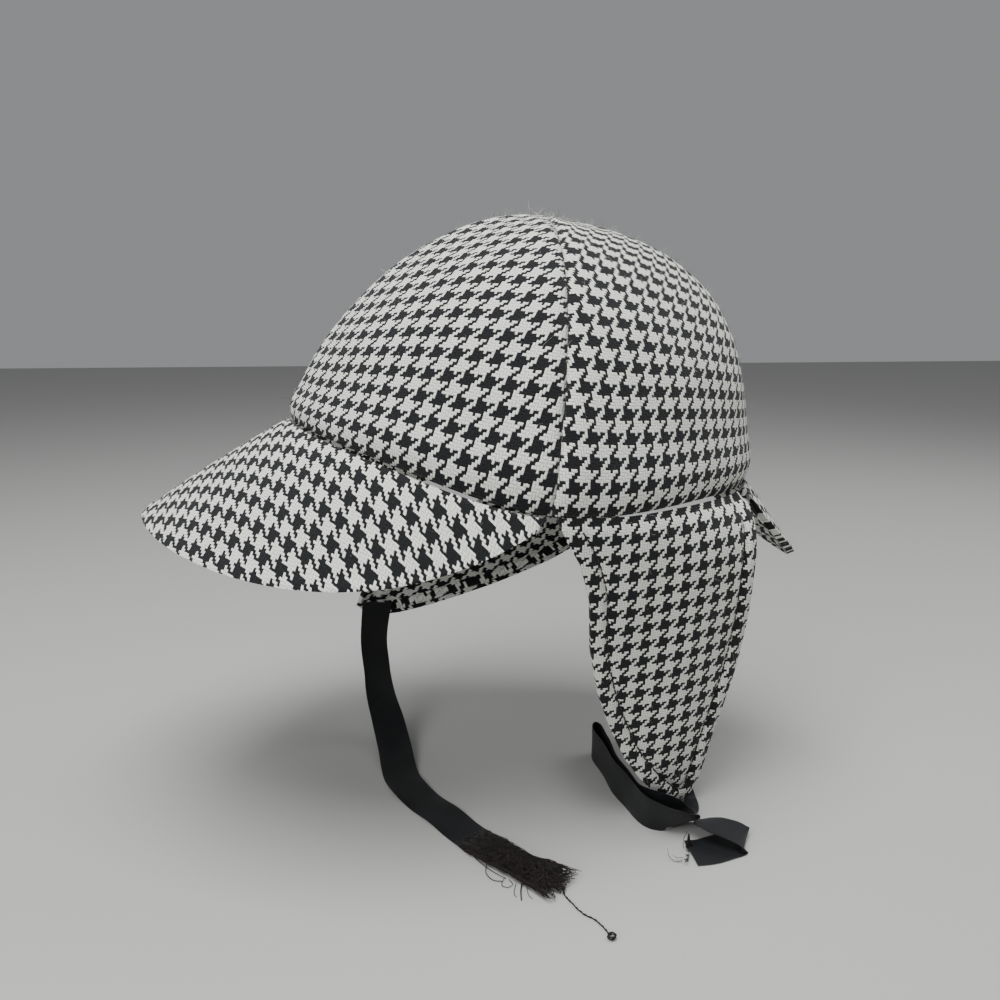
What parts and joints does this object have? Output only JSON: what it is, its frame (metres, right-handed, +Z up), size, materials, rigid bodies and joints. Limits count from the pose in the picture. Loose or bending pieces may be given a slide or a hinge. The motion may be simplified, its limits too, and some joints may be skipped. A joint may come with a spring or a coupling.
{
  "type": "deerstalker hat",
  "caption": "Soft woollen deerstalker hat in worn form: panelled crown, deep front peak, short rear peak, two hanging ear flaps, each with a ribbon tie frayed at its end.",
  "frame": {"origin": "centre of the head opening, in the plane of the rim's front and back", "axes": "+Z up, -Y toward the front peak, +X toward the wearer's left; the hat is tipped back 8.2 degrees as it sits on a head"},
  "size_m": [0.2105, 0.2837, 0.2496],
  "materials": {
    "houndstooth_wool": "matt wool woven in an off-white and black houndstooth check",
    "black_ribbon": "satin-faced black ribbon",
    "loose_thread": "dull brown-black loose threads"
  },
  "bodies": {
    "root": {"crown_panel_front_left": "houndstooth_wool", "crown_panel_front_right": "houndstooth_wool", "crown_panel_back_left": "houndstooth_wool", "crown_panel_back_right": "houndstooth_wool", "front_peak": "houndstooth_wool", "rear_peak": "houndstooth_wool", "ear_flap_left": "houndstooth_wool", "ear_flap_right": "houndstooth_wool", "ribbon_left": "black_ribbon", "ribbon_right": "black_ribbon", "ribbon_fray_left": "loose_thread", "ribbon_fray_right": "loose_thread"}
  },
  "joints": []
}
